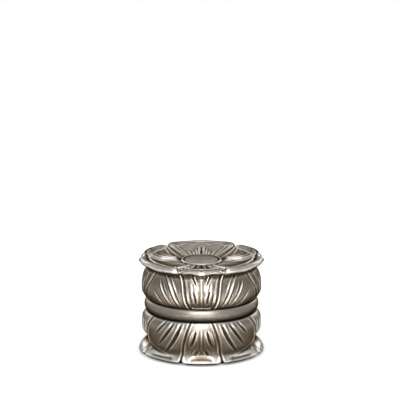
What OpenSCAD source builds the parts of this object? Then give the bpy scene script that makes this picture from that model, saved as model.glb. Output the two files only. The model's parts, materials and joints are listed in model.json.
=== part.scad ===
// Lotus cryptex: a small cast-metal combination box.
// A fixed base carries a slotted guide tube. The plain middle ring and the upper lotus are the two
// dials: each turns a code wheel with one gate. When both gates stand over the slot at the back,
// the flower cap lifts out with its key sleeve and lock pins. It is drawn closed and unlocked.
// Lengths are in millimetres, +Z is up, the front faces -Y, and the felt pad stands on Z = 0.

/* [Outer form] */
// Radius of the flower rim at its petal tips
rim_r = 40; // [39:0.5:42]
// Largest radius of the upper lotus
upper_r = 37.7; // [37:0.1:38.5]
// Largest radius of the lower lotus
lower_r = 37.4; // [37:0.1:38.5]
// Largest radius of the petal foot
foot_r = 39; // [38:0.1:40]
// Radius of the middle ring at its crown
ring_r = 36; // [35.6:0.1:37]
// Depth of the seams between petals
seam_depth = 0.9; // [0.4:0.1:1]

/* [Heights] */
// Top face of the fixed base
base_top = 27.4; // [27:0.1:28]
// Height of the middle ring
ring_h = 7.5; // [7.3:0.1:8]
// Height of the upper lotus
dial_h = 18.8; // [18.5:0.1:20]
// Height of the flower cap from its underside to its crest
cap_h = 7.8; // [7:0.1:9]
// Thickness of the felt pad
pad_t = 0.9; // [0.8:0.1:1]
// Gap between bodies that turn past each other
turn_gap = 0.3; // [0.2:0.05:0.4]

/* [Lock] */
// Outer radius of the guide tube
tube_r = 20; // [19.8:0.1:20.2]
// Wall of the guide tube
tube_wall = 2; // [1.5:0.1:2.2]
// Radial clearance of running fits
run_gap = 0.08; // [0.05:0.01:0.1]
// Radius of a lock pin
pin_r = 1.3; // [1:0.1:1.4]
// Number of clicks in one turn of a dial
clicks = 8; // [4:1:12]

/* [Petal mesh] */
// Columns across half a front petal
front_cols = 5; // [3:1:8]
// Columns across a shoulder petal
shoulder_cols = 12; // [8:2:16]
// Columns across half a side petal
side_cols = 6; // [4:1:8]

/* [Hidden] */
$fn = 96;
screw_fn = 24;       // facets of a screw
small_fn = 32;       // facets of small holes, pins and balls
dome_fn = 192;       // facets of the medallion's shallow dome

cast_colour = [0.62, 0.59, 0.54];
brass_colour = [0.78, 0.62, 0.34];
steel_colour = [0.75, 0.75, 0.77];
felt_colour = [0.16, 0.15, 0.15];

back = 180;          // azimuth of the slot and the gates, counted from the front
over = 1;            // how far a cutting solid runs past the face it cuts

// Levels of the stack, from the table up
foot_z = 0.5;
plate_top = 2.8;
ring_z = base_top + turn_gap;
ring_top = ring_z + ring_h;
dial_z = ring_top + turn_gap;
dial_top = dial_z + dial_h;
cap_z = dial_top + turn_gap;
cap_top = cap_z + cap_h;

// Clearances: pressed or screwed together, close, slip, and loose
press_fit = 0.02;
face_gap = 0.05;
flange_fit = 0.1;
felt_gap = 0.2;

// Radii shared by the cast shells and the turned drums inside them
shell_bore_r = 31.6;
drum_r = 31.5;
flange_r = 33;
shoulder_h = 1.4;

// Guide tube, its flange and the deck that it hangs from
deck_t = 5;
deck_z = base_top - deck_t;
tube_drop = 3.3;
tube_top = dial_top - tube_drop;
tube_flange_r = 27;
tube_flange_t = 2;
slot_w = 3.2;
slot_lift = 0.6;
slot_z = base_top + slot_lift;
drum_bore_r = 28;
pad_inset = 0.6;

// Code wheels: the pins wait in the pin space under each gate plate
pin_space_r = 23.2;
pin_reach_r = 22.5;
gate_w = 3.4;
gate_t = 3;
wheel_bore_r = tube_r + run_gap;
wheel_gap = 0.4;
wheel_face_z = base_top + wheel_gap;
ring_wheel_drop = 1.2;
ring_wheel_top = ring_top - ring_wheel_drop;
ring_gate_z = ring_wheel_top - gate_t;
ring_edge = 1.5;
ring_lip_t = 1.8;
ring_lip_r = 29.8;
ring_lip_z = ring_gate_z - ring_lip_t;
dial_face_z = ring_wheel_top + wheel_gap;
dial_gate_lift = 4.7;
dial_gate_z = dial_z + dial_gate_lift;
dial_wheel_r = 28;
ring_pin_lift = 1.8;
ring_pin_z = wheel_face_z + ring_pin_lift;
dial_pin_drop = 1.7;
dial_pin_z = dial_gate_z - dial_pin_drop;

// Top collar with its set screws, and the wave spring under it
spring_room = 0.8;
collar_z = dial_gate_z + gate_t + spring_room;
collar_t = 3;
collar_r = 28;
set_screw_r = 1;
set_screw_length = 6;
set_screw_sink = 0.1;
hex_depth = 1;
waves = 4;
wave_steps = 72;
wave_lift = 0.25;
leaf_t = 0.2;
leaf_in = 24.8;
leaf_out = 27.4;

// Ball detents and thrust washers
detent_r = 28;
detent_count = 4;
ball_r = 1;
ball_well = 4.4;
coil_r = 0.7;
coil_wire_r = 0.14;
coil_turns = 4;
coil_preload = 0.15;
coil_steps = 9;      // rings of points in one turn of a coil
coil_sides = 6;
dimple_depth = 0.35;
washer_in = 23.4;
washer_out = 25.6;
washer_sink = 0.2;

// Dial drum
dial_wall_in = 29;
dial_floor_t = 2;
dial_floor_top = dial_z + dial_floor_t;
dial_boss_r = 27.5;
lock_nut_t = 1.7;
spanner_w = 2;
spanner_depth = 0.7;

// Lid
sleeve_r = tube_r - tube_wall - run_gap;
sleeve_wall = 1.5;
sleeve_z = 5.3;
sleeve_flange_r = 26;
sleeve_flange_t = 1.8;

// Screws: shank and head radii, screw circles, and how far each screw reaches into its seat
small_screw_r = 0.95;
small_head_r = 1.8;
tiny_screw_r = 0.75;
tiny_head_r = 1.4;
head_h = 1.1;
tip_room = 0.5;
tube_screw_circle = 23.6;
tube_screw_grip = 4;
base_screw_circle = 29.75;
base_screw_length = 5;
ring_screw_circle = 31.3;
dial_screw_circle = 25.4;
dial_screw_grip = 4;
sleeve_screw_circle = 22;
sleeve_screw_grip = 2.6;

// Lotus profiles and the angles of their seams, low and high
seam_power = 6;
waist_r = 34.6;
upper_mid = 8.7;
upper_half = 8.9;
lower_mid = 7.5;
lower_half = 8.2;
lower_top_r = 34;
foot_neck_z = 10.5;
foot_rise = 7.5;
foot_edge = 2;
foot_seam_depth = 2.6 * seam_depth;
upper_front_low = 11;
upper_front_spread = 10;
upper_side_low = 72;
upper_side_high = 58;
lower_front_low = 20.5;
lower_front_high = 12;
lower_side_foot = 66;
lower_side_mid = 71;
lower_side_high = 59;
lower_side_z = 10;
lower_rows = 24;
upper_rows = 18;

// Flower cap: three narrow and three wide petals around a boss. The front petal is narrow.
narrow_half = 22.5;
sixth = 60;
narrow_cols = 6;
wide_cols = 9;
sixth_cols = narrow_cols + wide_cols;
notch_power = 7;
notch_share = 0.12;
valley_depth = 1.3;
dish_start_r = 15;
lip_drop = 3.6;
lip_low_z = cap_top - lip_drop;
lip_w = 4.5;
lip_in_r = rim_r - lip_w;
lip_sag = 0.6;
cap_neck_r = 34.8;
cap_neck_h = 2.2;
under_steps = 4;
lip_steps = 6;
boss_r = 10.8;
boss_lift = 3.6;
boss_floor_z = cap_z + boss_lift;
boss_ring_r = 12.8;
boss_ring_h = 1;
boss_ring_z = boss_floor_z + boss_ring_h;
boss_ring_round = 0.4;
dish_lift = 0.6;
dish_z = boss_floor_z + dish_lift;

// Medallion: a domed disc on a stem, held by a nut inside the lid
disc_h = 1;
dome_h = 0.8;
stem_r = 1.5;
nut_h = 1.7;
nut_r = 3.2;
stem_tail = 0.4;
felt_t = 0.8;

function unit(t) = min(1, max(0, t));
function smooth(t) = let (s = unit(t)) s * s * (3 - 2 * s);
function mix(a, b, t) = a + (b - a) * t;
function at(az, r, z) = [r * sin(az), -r * cos(az), z];

// Side profile of a lotus: low at both ends, full and nearly upright between them
function bulge(z, mid, half, low, high) = low + (high - low) * (1 - pow(unit(abs(z - mid) / half), 3));

// Places children on a circle; azimuth 0 is the front, and 90 is +X
module place(az, r = 0, z = 0) {
    rotate([0, 0, az - 90]) translate([r, 0, z]) children();
}

module around(count, r, z = 0, first = 0) {
    for (i = [0 : count - 1]) place(first + i * 360 / count, r, z) children();
}

module tube(r_out, r_in, z, h) {
    translate([0, 0, z]) difference() {
        cylinder(r = r_out, h = h);
        translate([0, 0, -over]) cylinder(r = r_in, h = h + 2 * over);
    }
}

// Countersunk screw with its head's flat face at Z = 0 and its shank pointing down
module flat_screw(shank_r, head_r, length) {
    difference() {
        union() {
            translate([0, 0, -length]) cylinder(r = shank_r, h = length, $fn = screw_fn);
            translate([0, 0, shank_r - head_r])
                cylinder(r1 = shank_r, r2 = head_r, h = head_r - shank_r, $fn = screw_fn);
        }
        translate([-head_r, -shank_r / 4, -shank_r / 2]) cube([2 * head_r, shank_r / 2, shank_r]);
    }
}

// Cheese-head screw with its head above Z = 0 and its shank pointing down
module cheese_screw(shank_r, head_r, head_h, length) {
    difference() {
        union() {
            translate([0, 0, -length]) cylinder(r = shank_r, h = length + head_h / 2, $fn = screw_fn);
            cylinder(r = head_r, h = head_h, $fn = screw_fn);
        }
        translate([-head_r, -shank_r / 4, head_h / 2]) cube([2 * head_r, shank_r / 2, head_h]);
    }
}

// Closed sweep of rings of points: each ring has the same number of points
module loft(rings, closed = false) {
    rows = len(rings);
    cols = len(rings[0]);
    side = [for (j = [0 : rows - (closed ? 1 : 2)], i = [0 : cols - 1])
        [j * cols + i, (j + 1) % rows * cols + i, (j + 1) % rows * cols + (i + 1) % cols,
            j * cols + (i + 1) % cols]];
    ends = closed ? [] : [[for (i = [0 : cols - 1]) i],
        [for (i = [cols - 1 : -1 : 0]) (rows - 1) * cols + i]];
    polyhedron(points = [for (ring = rings, p = ring) p], faces = concat(side, ends), convexity = 8);
}

module coil_spring(radius, wire_r, height, turns) {
    steps = coil_steps * turns;
    rise = height - 2 * wire_r;
    loft([for (k = [0 : steps]) let (a = 360 * turns * k / steps, z = wire_r + rise * k / steps)
        [for (i = [0 : coil_sides - 1]) let (b = -360 * i / coil_sides, r = radius + wire_r * cos(b))
            [r * cos(a), r * sin(a), z + wire_r * sin(b)]]]);
}

// Lotus shells. Seams are given for the quarter turn from the front to the side and mirrored.
// Column i of a quarter: its angle, and how close it is to a seam, from 0 to 1
quarter_cols = front_cols + shoulder_cols + side_cols;
function col_angle(i, s1, s2) =
    i <= front_cols ? s1 * i / front_cols
    : i <= front_cols + shoulder_cols ? mix(s1, s2, (i - front_cols) / shoulder_cols)
    : mix(s2, 90, (i - front_cols - shoulder_cols) / side_cols);
function col_edge(i) =
    i <= front_cols ? i / front_cols
    : i <= front_cols + shoulder_cols ? abs(2 * (i - front_cols) / shoulder_cols - 1)
    : 1 - (i - front_cols - shoulder_cols) / side_cols;

// One ring of a lotus: radius r, seams at s1 and s2 degrees, and seam depth d
function lotus_ring(r, z, s1, s2, d) = [for (q = [0 : 3], k = [0 : quarter_cols - 1])
    let (i = q % 2 == 0 ? k : quarter_cols - k,
        a = col_angle(i, s1, s2),
        az = q == 0 ? a : q == 1 ? 180 - a : q == 2 ? 180 + a : 360 - a)
    at(az, r - d * pow(col_edge(i), seam_power), z)];

function upper_front_seam(z) = let (f = (z - dial_z) / dial_h)
    upper_front_low + upper_front_spread * (f + sin(90 * f)) / 2;
function upper_side_seam(z) = mix(upper_side_low, upper_side_high, (z - dial_z) / dial_h);
function lower_front_seam(z) = mix(lower_front_low, lower_front_high, unit(z / base_top));
function lower_side_seam(z) =
    z > lower_side_z ? mix(lower_side_mid, lower_side_high, (z - lower_side_z) / (base_top - lower_side_z))
    : mix(lower_side_foot, lower_side_mid, z / lower_side_z);

function upper_profile(z) = bulge(z, dial_z + upper_mid, upper_half, waist_r, upper_r);
function foot_profile(z) = waist_r + (foot_r - waist_r) * smooth((foot_neck_z - z) / foot_rise)
    - pow(unit((foot_z + foot_edge - z) / foot_edge), 2);
function lower_profile(z) =
    max(bulge(z, base_top - lower_mid, lower_half, lower_top_r, lower_r), foot_profile(z));
function lower_seam_depth(z) = mix(seam_depth, foot_seam_depth, smooth((foot_neck_z - z) / foot_rise));

module shell_bore(z, top) {
    translate([0, 0, z - over]) cylinder(r = shell_bore_r, h = top - z + 2 * over);
}

module lower_lotus() {
    color(cast_colour) difference() {
        loft([for (j = [0 : lower_rows]) let (z = mix(foot_z, base_top, j / lower_rows))
            lotus_ring(lower_profile(z), z, lower_front_seam(z), lower_side_seam(z), lower_seam_depth(z))]);
        shell_bore(foot_z, base_top);
        translate([0, 0, foot_z - over]) cylinder(r = flange_r, h = plate_top - foot_z + over);
        translate([0, 0, base_top - shoulder_h]) cylinder(r = flange_r + flange_fit, h = shoulder_h + over);
    }
}

module upper_lotus() {
    color(cast_colour) difference() {
        loft([for (j = [0 : upper_rows]) let (z = mix(dial_z, dial_top, j / upper_rows))
            lotus_ring(upper_profile(z), z, upper_front_seam(z), upper_side_seam(z), seam_depth)]);
        shell_bore(dial_z, dial_top);
        translate([0, 0, dial_z - over])
            cylinder(r = flange_r + flange_fit, h = shoulder_h + over);
        translate([0, 0, dial_top - lock_nut_t - turn_gap])
            cylinder(r = flange_r + flange_fit, h = lock_nut_t + turn_gap + over);
    }
}

module base_drum() {
    color(brass_colour) difference() {
        union() {
            tube(drum_r, drum_bore_r, plate_top, deck_z - plate_top + over);
            tube(drum_r, tube_r + flange_fit / 2, deck_z, deck_t);
            tube(flange_r, drum_bore_r, base_top - shoulder_h, shoulder_h);
        }
        tube(washer_out + flange_fit, washer_in - flange_fit, base_top - washer_sink, washer_sink + over);
        around(detent_count, detent_r, base_top - ball_well, 45)
            cylinder(r = ball_r + face_gap, h = ball_well + over, $fn = small_fn);
        around(3, tube_screw_circle, deck_z - over)
            cylinder(r = small_screw_r + face_gap, h = over + tube_screw_grip, $fn = small_fn);
        around(3, base_screw_circle, plate_top - over, 60)
            cylinder(r = small_screw_r + face_gap, h = over + base_screw_length, $fn = small_fn);
    }
}

module base_plate() {
    color(brass_colour) difference() {
        translate([0, 0, pad_t]) cylinder(r = flange_r - 2 * flange_fit, h = plate_top - pad_t);
        around(3, base_screw_circle, pad_t - over, 60)
            cylinder(r = small_screw_r + face_gap, h = plate_top + over, $fn = small_fn);
        around(3, base_screw_circle, pad_t, 60)
            cylinder(r1 = small_head_r + face_gap, r2 = small_screw_r,
                h = small_head_r - small_screw_r + face_gap, $fn = small_fn);
    }
}

module base_screws() {
    color(steel_colour) around(3, base_screw_circle, pad_t + face_gap, 60)
        mirror([0, 0, 1])
            flat_screw(small_screw_r, small_head_r, plate_top - pad_t + base_screw_length - tip_room);
}

module felt_pad() {
    color(felt_colour) cylinder(r = drum_bore_r - pad_inset, h = pad_t);
}

module guide_tube() {
    color(brass_colour) difference() {
        union() {
            translate([0, 0, plate_top]) cylinder(r = tube_r, h = tube_top - plate_top);
            translate([0, 0, deck_z - tube_flange_t]) cylinder(r = tube_flange_r, h = tube_flange_t);
        }
        translate([0, 0, plate_top - over]) cylinder(r = tube_r - tube_wall, h = tube_top);
        place(back, tube_r - tube_wall - over, slot_z) translate([0, -slot_w / 2, 0])
            cube([tube_wall + 2 * over, slot_w, tube_top]);
        around(3, tube_screw_circle, deck_z - tube_flange_t - over)
            cylinder(r = small_screw_r + face_gap, h = tube_flange_t + 2 * over, $fn = small_fn);
    }
}

module tube_screws() {
    color(steel_colour) around(3, tube_screw_circle, deck_z - tube_flange_t)
        mirror([0, 0, 1])
            cheese_screw(small_screw_r, small_head_r, head_h, tube_flange_t + tube_screw_grip - tip_room);
}

module well_liner() {
    color(felt_colour) translate([0, 0, plate_top]) cylinder(r = tube_r - tube_wall - felt_gap, h = felt_t);
}

module detent_balls(face_z) {
    around(detent_count, detent_r, face_z - face_gap - ball_r, 45) sphere(r = ball_r, $fn = small_fn);
}

module detent_springs(hole_top) {
    around(detent_count, detent_r, hole_top - ball_well + face_gap, 45)
        coil_spring(coil_r, coil_wire_r, ball_well - 2 * ball_r + coil_preload, coil_turns);
}

module click_dimples(face_z) {
    around(clicks, detent_r, face_z + dimple_depth - ball_r) sphere(r = ball_r, $fn = small_fn);
}

module ring_detent_balls() {
    color(steel_colour) detent_balls(wheel_face_z);
}

module ring_detent_springs() {
    color(steel_colour) detent_springs(base_top);
}

module lower_thrust_washer() {
    color(brass_colour) tube(washer_out, washer_in, base_top - washer_sink,
        wheel_face_z - base_top + washer_sink - face_gap);
}

module gate(z) {
    place(back, tube_r - over, z - over) translate([0, -gate_w / 2, 0])
        cube([pin_space_r - tube_r + over, gate_w, gate_t + 2 * over]);
}

module top_collar() {
    color(brass_colour) difference() {
        tube(collar_r, tube_r + press_fit, collar_z, collar_t);
        gate(collar_z);
        around(2, tube_r, collar_z + collar_t / 2, 90)
            rotate([0, 90, 0])
                cylinder(r = set_screw_r + face_gap, h = collar_r - tube_r + over, $fn = small_fn);
    }
}

module collar_set_screws() {
    color(steel_colour) around(2, tube_r + set_screw_sink, collar_z + collar_t / 2, 90) rotate([0, 90, 0])
        difference() {
            cylinder(r = set_screw_r, h = set_screw_length, $fn = small_fn);
            translate([0, 0, set_screw_length - hex_depth])
                cylinder(r = set_screw_r / 2, h = hex_depth + over, $fn = 6);
        }
}

module wave_spring() {
    mid_z = collar_z - spring_room / 2;
    color(steel_colour) loft([for (k = [0 : wave_steps - 1])
        let (a = 360 * k / wave_steps, z = mid_z + wave_lift * sin(waves * a), low = z - leaf_t / 2)
        [at(a, leaf_in, low), at(a, leaf_out, low),
            at(a, leaf_out, low + leaf_t), at(a, leaf_in, low + leaf_t)]], closed = true);
}

// Half-round band with an inner lip that carries the code wheel
module middle_ring() {
    swell = ring_r - flange_r - ring_edge;
    round_r = (pow(ring_h / 2, 2) + pow(swell, 2)) / (2 * swell);
    color(cast_colour) union() {
        rotate_extrude() intersection() {
            translate([ring_r - round_r, ring_z + ring_h / 2]) circle(r = round_r);
            translate([flange_r, ring_z]) square([ring_r, ring_h]);
        }
        tube(flange_r + ring_edge / 3, ring_lip_r, ring_lip_z, ring_lip_t);
    }
}

module ring_code_wheel() {
    color(brass_colour) difference() {
        union() {
            tube(ring_lip_r - 2 * flange_fit, pin_space_r, wheel_face_z, ring_gate_z - wheel_face_z);
            tube(flange_r - 2 * flange_fit, wheel_bore_r, ring_gate_z, gate_t);
        }
        gate(ring_gate_z);
        click_dimples(wheel_face_z);
        tube(washer_out + flange_fit, washer_in - flange_fit,
            ring_wheel_top - washer_sink, washer_sink + over);
        around(detent_count, detent_r, ring_wheel_top - ball_well, 45)
            cylinder(r = ball_r + face_gap, h = ball_well + over, $fn = small_fn);
        around(3, ring_screw_circle, ring_gate_z - over)
            cylinder(r = tiny_screw_r + face_gap, h = gate_t + 2 * over, $fn = small_fn);
        around(3, ring_screw_circle, ring_wheel_top - tiny_head_r + tiny_screw_r - face_gap)
            cylinder(r1 = tiny_screw_r, r2 = tiny_head_r + face_gap,
                h = tiny_head_r - tiny_screw_r + face_gap, $fn = small_fn);
    }
}

module ring_wheel_screws() {
    color(steel_colour) around(3, ring_screw_circle, ring_wheel_top - face_gap)
        flat_screw(tiny_screw_r, tiny_head_r, gate_t - 2 * face_gap);
}

module dial_detent_balls() {
    color(steel_colour) detent_balls(dial_face_z);
}

module dial_detent_springs() {
    color(steel_colour) detent_springs(ring_wheel_top);
}

module middle_thrust_washer() {
    color(brass_colour) tube(washer_out, washer_in, ring_wheel_top - washer_sink,
        dial_face_z - ring_wheel_top + washer_sink - face_gap);
}

module dial_drum() {
    color(brass_colour) difference() {
        union() {
            tube(ring_lip_r, pin_space_r, dial_face_z, dial_floor_top - dial_face_z);
            tube(flange_r, pin_space_r, dial_z, shoulder_h);
            tube(drum_r, pin_space_r, dial_z, dial_floor_top - dial_z);
            tube(drum_r, dial_wall_in, dial_floor_top - over, dial_top - turn_gap - dial_floor_top + over);
            tube(dial_boss_r, pin_space_r, dial_floor_top - over, dial_gate_z - dial_floor_top + over);
        }
        click_dimples(dial_face_z);
        around(3, dial_screw_circle, dial_gate_z - dial_screw_grip)
            cylinder(r = tiny_screw_r + face_gap, h = dial_screw_grip + over, $fn = small_fn);
    }
}

module dial_lock_nut() {
    color(brass_colour) difference() {
        tube(flange_r, drum_r + press_fit, dial_top - turn_gap - lock_nut_t, lock_nut_t);
        around(4, flange_r, dial_top - turn_gap - lock_nut_t / 2)
            translate([-spanner_depth, -spanner_w / 2, 0]) cube([spanner_w, spanner_w, lock_nut_t]);
    }
}

module dial_code_wheel() {
    color(brass_colour) difference() {
        tube(dial_wheel_r, wheel_bore_r, dial_gate_z, gate_t);
        gate(dial_gate_z);
        around(3, dial_screw_circle, dial_gate_z - over)
            cylinder(r = tiny_screw_r + face_gap, h = gate_t + 2 * over, $fn = small_fn);
        around(3, dial_screw_circle, dial_gate_z + gate_t - tiny_head_r + tiny_screw_r - face_gap)
            cylinder(r1 = tiny_screw_r, r2 = tiny_head_r + face_gap,
                h = tiny_head_r - tiny_screw_r + face_gap, $fn = small_fn);
    }
}

module dial_wheel_screws() {
    color(steel_colour) around(3, dial_screw_circle, dial_gate_z + gate_t - face_gap)
        flat_screw(tiny_screw_r, tiny_head_r, gate_t + dial_screw_grip - turn_gap);
}

// Column i of a sixth of the flower: its angle, and how close it is to a seam, from 0 to 1
function petal_angle(i) =
    i <= narrow_cols ? narrow_half * i / narrow_cols
    : mix(narrow_half, sixth, (i - narrow_cols) / wide_cols);
function petal_edge(i) = i <= narrow_cols ? i / narrow_cols : 1 - (i - narrow_cols) / wide_cols;

// One ring of the flower: the notches and valleys between petals grow towards the rim.
// Under the rim, share runs from 0 at the round neck to 1 at the notched edge of the lip.
function flower_ring(r, z, share = 1) = let (out = smooth((r - dish_start_r) / (rim_r - dish_start_r)))
    [for (q = [0 : 5], k = [0 : sixth_cols - 1])
        let (i = q % 2 == 0 ? k : sixth_cols - k,
            az = q % 2 == 0 ? sixth * q + petal_angle(i) : sixth * (q + 1) - petal_angle(i),
            e = share * pow(petal_edge(i), notch_power) * out)
        at(az, r * (1 - notch_share * e), z > dish_z && share == 1 ? z - valley_depth * e : z)];

// Underside, from the round neck out to the lip
function under_ring(t) = flower_ring(mix(cap_neck_r, rim_r, t),
    mix(cap_z + cap_neck_h, lip_low_z - lip_sag * (1 - t), t), t);
// Rounded lip from its low outer edge to its crest, then the dish falling in to the boss
function lip_ring(t) = flower_ring(mix(lip_in_r, rim_r, cos(t)), mix(lip_low_z, cap_top, sin(t)));
function dish_ring(t) = flower_ring(mix(lip_in_r, boss_ring_r, t), mix(cap_top, dish_z, sin(90 * t)));

module flower_cap() {
    color(cast_colour) difference() {
        loft(concat(
            [flower_ring(cap_neck_r, cap_z, 0)],
            [for (j = [0 : under_steps - 1]) under_ring(j / under_steps)],
            [for (j = [0 : lip_steps]) lip_ring(90 * j / lip_steps)],
            [for (j = [1 : lip_steps]) dish_ring(j / lip_steps)],
            [flower_ring(boss_ring_r - boss_ring_round, boss_ring_z),
                flower_ring(boss_r + flange_fit + boss_ring_round, boss_ring_z),
                flower_ring(boss_r + flange_fit, boss_floor_z)]));
        translate([0, 0, cap_z - over]) cylinder(r = stem_r + flange_fit, h = cap_h, $fn = small_fn);
        around(3, sleeve_screw_circle, cap_z - over)
            cylinder(r = small_screw_r + face_gap, h = over + sleeve_screw_grip, $fn = small_fn);
    }
}

module key_sleeve() {
    color(steel_colour) difference() {
        union() {
            translate([0, 0, sleeve_z]) cylinder(r = sleeve_r, h = cap_z - sleeve_z);
            translate([0, 0, cap_z - sleeve_flange_t]) cylinder(r = sleeve_flange_r, h = sleeve_flange_t);
        }
        translate([0, 0, sleeve_z - over]) cylinder(r = sleeve_r - sleeve_wall, h = cap_top);
        for (z = [ring_pin_z, dial_pin_z])
            place(back, 0, z) rotate([0, 90, 0]) cylinder(r = pin_r + press_fit, h = tube_r, $fn = small_fn);
        around(3, sleeve_screw_circle, cap_z - sleeve_flange_t - over)
            cylinder(r = small_screw_r + face_gap, h = sleeve_flange_t + 2 * over, $fn = small_fn);
    }
}

module sleeve_screws() {
    color(steel_colour) around(3, sleeve_screw_circle, cap_z - sleeve_flange_t)
        mirror([0, 0, 1]) cheese_screw(small_screw_r, small_head_r, head_h,
            sleeve_flange_t + sleeve_screw_grip - turn_gap);
}

module lock_pins() {
    start_r = sleeve_r - sleeve_wall + flange_fit;
    color(steel_colour) for (z = [ring_pin_z, dial_pin_z])
        place(back, start_r, z) rotate([0, 90, 0])
            cylinder(r = pin_r, h = pin_reach_r - start_r, $fn = small_fn);
}

module cap_medallion() {
    dome_r = (pow(boss_r, 2) + pow(dome_h, 2)) / (2 * dome_h);
    stem_z = cap_z - nut_h - stem_tail;
    color(cast_colour) union() {
        translate([0, 0, stem_z])
            cylinder(r = stem_r, h = boss_floor_z + disc_h / 2 - stem_z, $fn = small_fn);
        translate([0, 0, boss_floor_z]) cylinder(r = boss_r, h = disc_h);
        intersection() {
            translate([0, 0, boss_floor_z + disc_h + dome_h - dome_r]) sphere(r = dome_r, $fn = dome_fn);
            translate([0, 0, boss_floor_z + disc_h / 2]) cylinder(r = boss_r, h = disc_h + dome_h);
        }
    }
}

module medallion_nut() {
    color(steel_colour) translate([0, 0, cap_z - nut_h]) difference() {
        cylinder(r = nut_r, h = nut_h, $fn = 6);
        translate([0, 0, -over]) cylinder(r = stem_r + face_gap, h = nut_h + 2 * over, $fn = small_fn);
    }
}

module lid_liner() {
    color(felt_colour) tube(sleeve_r - sleeve_wall - felt_gap, nut_r + felt_t, cap_z - felt_t, felt_t);
}

lower_lotus();
base_drum();
base_plate();
base_screws();
felt_pad();
guide_tube();
tube_screws();
well_liner();
ring_detent_balls();
ring_detent_springs();
lower_thrust_washer();
top_collar();
collar_set_screws();
wave_spring();
middle_ring();
ring_code_wheel();
ring_wheel_screws();
dial_detent_balls();
dial_detent_springs();
middle_thrust_washer();
upper_lotus();
dial_drum();
dial_lock_nut();
dial_code_wheel();
dial_wheel_screws();
flower_cap();
key_sleeve();
sleeve_screws();
lock_pins();
cap_medallion();
medallion_nut();
lid_liner();
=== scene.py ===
"""Looks of the lotus cryptex: the cast flower, lotuses and foot, the turned ring, and the works inside.

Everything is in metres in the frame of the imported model. The castings are lathe-like grids: a side profile
turned about the axis, with petals, seams, ribs and rolled edges added as a relief. Shape numbers of the
castings are millimetres and degrees; azimuth 0 is the front (-Y) and 90 is +X.
"""
import json

import bmesh
import bpy
import numpy as np
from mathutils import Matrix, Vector


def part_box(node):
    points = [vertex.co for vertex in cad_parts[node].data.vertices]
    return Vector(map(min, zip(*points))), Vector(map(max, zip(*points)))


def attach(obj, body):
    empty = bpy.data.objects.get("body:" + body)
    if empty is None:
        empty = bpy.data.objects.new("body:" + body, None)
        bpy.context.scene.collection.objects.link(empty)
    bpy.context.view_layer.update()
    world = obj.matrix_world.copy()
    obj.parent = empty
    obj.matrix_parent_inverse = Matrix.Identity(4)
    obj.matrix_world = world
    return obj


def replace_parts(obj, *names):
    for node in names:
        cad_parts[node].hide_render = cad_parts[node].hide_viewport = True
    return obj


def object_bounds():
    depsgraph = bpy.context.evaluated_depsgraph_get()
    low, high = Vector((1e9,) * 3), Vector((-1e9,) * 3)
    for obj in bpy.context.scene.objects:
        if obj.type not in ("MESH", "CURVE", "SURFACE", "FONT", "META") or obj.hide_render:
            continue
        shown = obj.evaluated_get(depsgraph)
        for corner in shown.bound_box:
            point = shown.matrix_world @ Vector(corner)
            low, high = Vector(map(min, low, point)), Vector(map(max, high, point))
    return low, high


MM = 0.001

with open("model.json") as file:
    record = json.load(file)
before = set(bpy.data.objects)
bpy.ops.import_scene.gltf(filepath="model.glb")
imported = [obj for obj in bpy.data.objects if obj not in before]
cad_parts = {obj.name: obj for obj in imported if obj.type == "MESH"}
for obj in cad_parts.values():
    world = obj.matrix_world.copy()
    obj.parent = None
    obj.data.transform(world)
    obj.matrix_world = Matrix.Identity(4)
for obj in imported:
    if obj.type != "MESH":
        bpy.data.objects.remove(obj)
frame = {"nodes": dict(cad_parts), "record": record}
cad_low, cad_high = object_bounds()


# ---------------------------------------------------------------- camera, floor and light

CAMERA_LENS = 360.0
CAMERA_CLIP = (0.05, 50.0)
FRAME_WIDTH = 0.2528          # metres across the picture at the object
CAMERA_ELEVATION = 15.2       # degrees, seen from the middle of the object
AIM = Vector((-0.0009, 0.0, 0.0978))
WORLD_STRENGTH = 0.55
FLOOR_HALF = 3.0
LIGHT_COLOUR = (0.95, 0.975, 1.0)
CENTRE = (0.0, 0.0, 0.03)
LIGHTS = [                    # name, place, target, size, watts, spread in degrees
    ("front", (0.0, -0.85, 0.50), CENTRE, (0.62, 0.70), 7.0, 180.0),
    ("overhead", (0.0, 0.0, 1.1), CENTRE, (0.6, 0.6), 1.8, 180.0),
    ("back_left", (-0.5, 0.70, 0.30), CENTRE, (0.35, 0.5), 1.1, 180.0),
    ("back_right", (0.5, 0.70, 0.30), CENTRE, (0.35, 0.5), 1.1, 180.0),
    ("back_panel", (0.0, 1.15, 0.55), CENTRE, (1.5, 0.6), 3.0, 180.0),
    ("table_front", (0.0, -0.32, 0.45), (0.0, -0.32, 0.0), (0.14, 0.34), 2.5, 36.0),
]


def in_scene(name, data):
    thing = bpy.data.objects.new(name, data)
    bpy.context.scene.collection.objects.link(thing)
    return thing


def turn_to(thing, target):
    thing.rotation_euler = (Vector(target) - thing.location).to_track_quat("-Z", "Y").to_euler()


def make_camera():
    data = bpy.data.cameras.new("camera")
    data.lens = CAMERA_LENS
    data.clip_start, data.clip_end = CAMERA_CLIP
    camera = in_scene("camera", data)
    distance = FRAME_WIDTH * CAMERA_LENS / data.sensor_width
    middle = (cad_low + cad_high) / 2
    tilt = np.radians(CAMERA_ELEVATION)
    camera.location = middle + Vector((0.0, -np.cos(tilt), np.sin(tilt))) * distance
    camera.location.x = AIM.x
    turn_to(camera, AIM)
    bpy.context.scene.camera = camera


def area_light(name, place, target, size, watts, spread):
    data = bpy.data.lights.new(name, "AREA")
    data.shape = "RECTANGLE"
    data.size, data.size_y = size
    data.energy = watts
    data.color = LIGHT_COLOUR
    data.spread = np.radians(spread)
    light = in_scene(name, data)
    light.location = place
    turn_to(light, target)


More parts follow.
